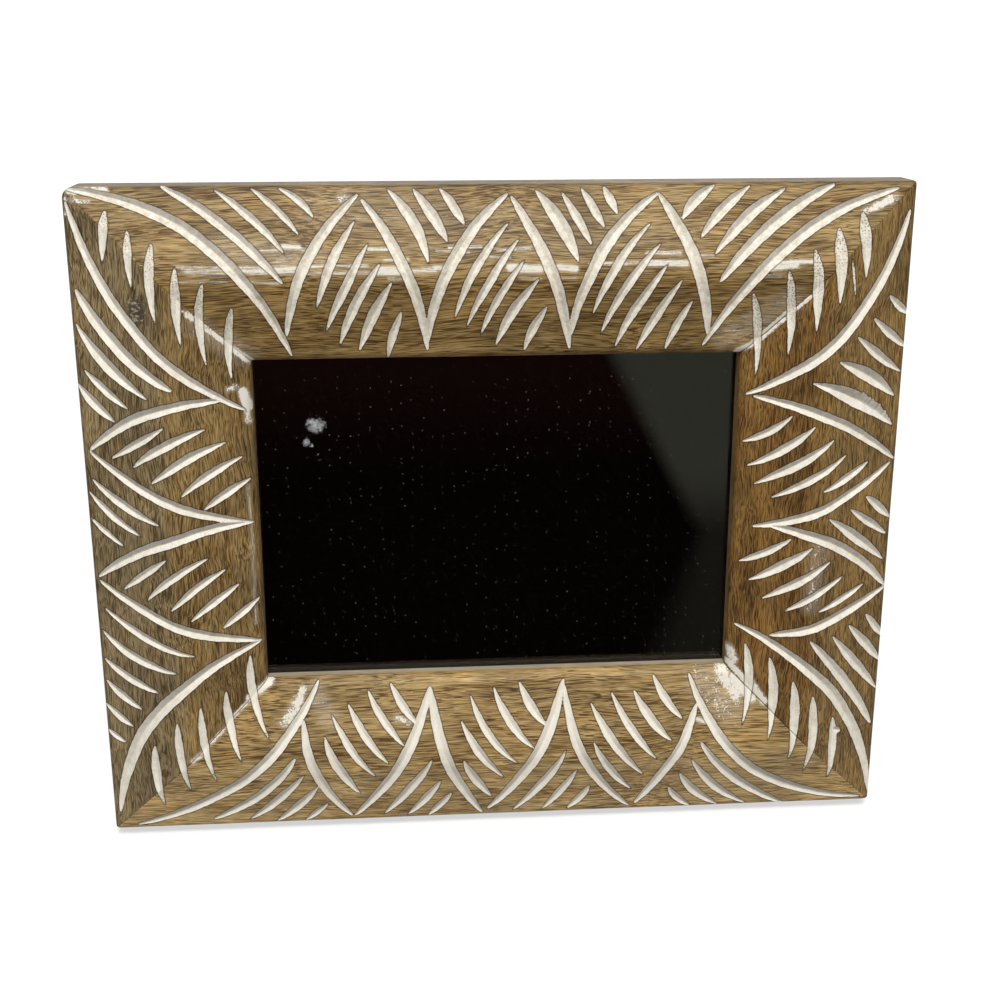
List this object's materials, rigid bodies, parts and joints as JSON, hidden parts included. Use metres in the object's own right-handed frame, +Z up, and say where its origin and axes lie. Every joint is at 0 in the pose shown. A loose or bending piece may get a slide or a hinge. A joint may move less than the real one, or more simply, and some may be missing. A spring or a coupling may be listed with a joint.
{
  "type": "carved wooden picture frame",
  "caption": "Landscape table frame of mitred, gouge-carved wooden rails with glass, a held-in back board, turn buttons, a sawtooth hanger and a folding easel leg.",
  "frame": {"origin": "middle of the rear bottom edge, where the leaning frame meets the surface that it stands on", "axes": "+X to the right along the frame's width, +Z up, the front faces -Y and leans back by 15 degrees"},
  "size_m": [0.279, 0.0934, 0.2249],
  "materials": {
    "carved_wood": "hand carved, waxed, white wash rubbed into the cuts",
    "glass": "clear float glass",
    "black_card": "matt",
    "grey_card": "matt",
    "back_board": "fibreboard, stained brown",
    "leg_board": "fibreboard, painted dark brown, matt",
    "zinc_steel": "zinc plated",
    "brass": "brass plated, dull"
  },
  "bodies": {
    "frame": {"top_rail": "carved_wood", "bottom_rail": "carved_wood", "left_rail": "carved_wood", "right_rail": "carved_wood", "mitre_v_nails": "zinc_steel", "glass_pane": "glass", "black_insert_card": "black_card", "filler_card": "grey_card", "back_board": "back_board", "hinge_board_leaf": "zinc_steel", "hinge_pin": "zinc_steel", "board_rivets": "zinc_steel", "turn_button_screws": "brass", "sawtooth_hanger": "brass", "hanger_nails": "brass"},
    "leg": {"easel_leg": "leg_board", "hinge_leg_leaf": "zinc_steel", "leg_rivets": "zinc_steel"},
    "button_top_left": {"turn_button_top_left": "brass"},
    "button_top_right": {"turn_button_top_right": "brass"},
    "button_bottom_left": {"turn_button_bottom_left": "brass"},
    "button_bottom_right": {"turn_button_bottom_right": "brass"}
  },
  "joints": [
    {"name": "leg_fold", "type": "hinge", "parent": "frame", "child": "leg", "pos_m": [0, 0.0409, 0.14433], "axis": [-1, 0, 0], "range_deg": [0, 28]},
    {"name": "button_top_left_turn", "type": "hinge", "parent": "frame", "child": "button_top_left", "pos_m": [-0.06, 0.04891, 0.17946], "axis": [0, 0.9659, -0.2588], "continuous": true},
    {"name": "button_top_right_turn", "type": "hinge", "parent": "frame", "child": "button_top_right", "pos_m": [0.06, 0.04891, 0.17946], "axis": [0, 0.9659, -0.2588], "continuous": true},
    {"name": "button_bottom_left_turn", "type": "hinge", "parent": "frame", "child": "button_bottom_left", "pos_m": [-0.06, 0.0119, 0.04133], "axis": [0, 0.9659, -0.2588], "continuous": true},
    {"name": "button_bottom_right_turn", "type": "hinge", "parent": "frame", "child": "button_bottom_right", "pos_m": [0.06, 0.0119, 0.04133], "axis": [0, 0.9659, -0.2588], "continuous": true}
  ]
}
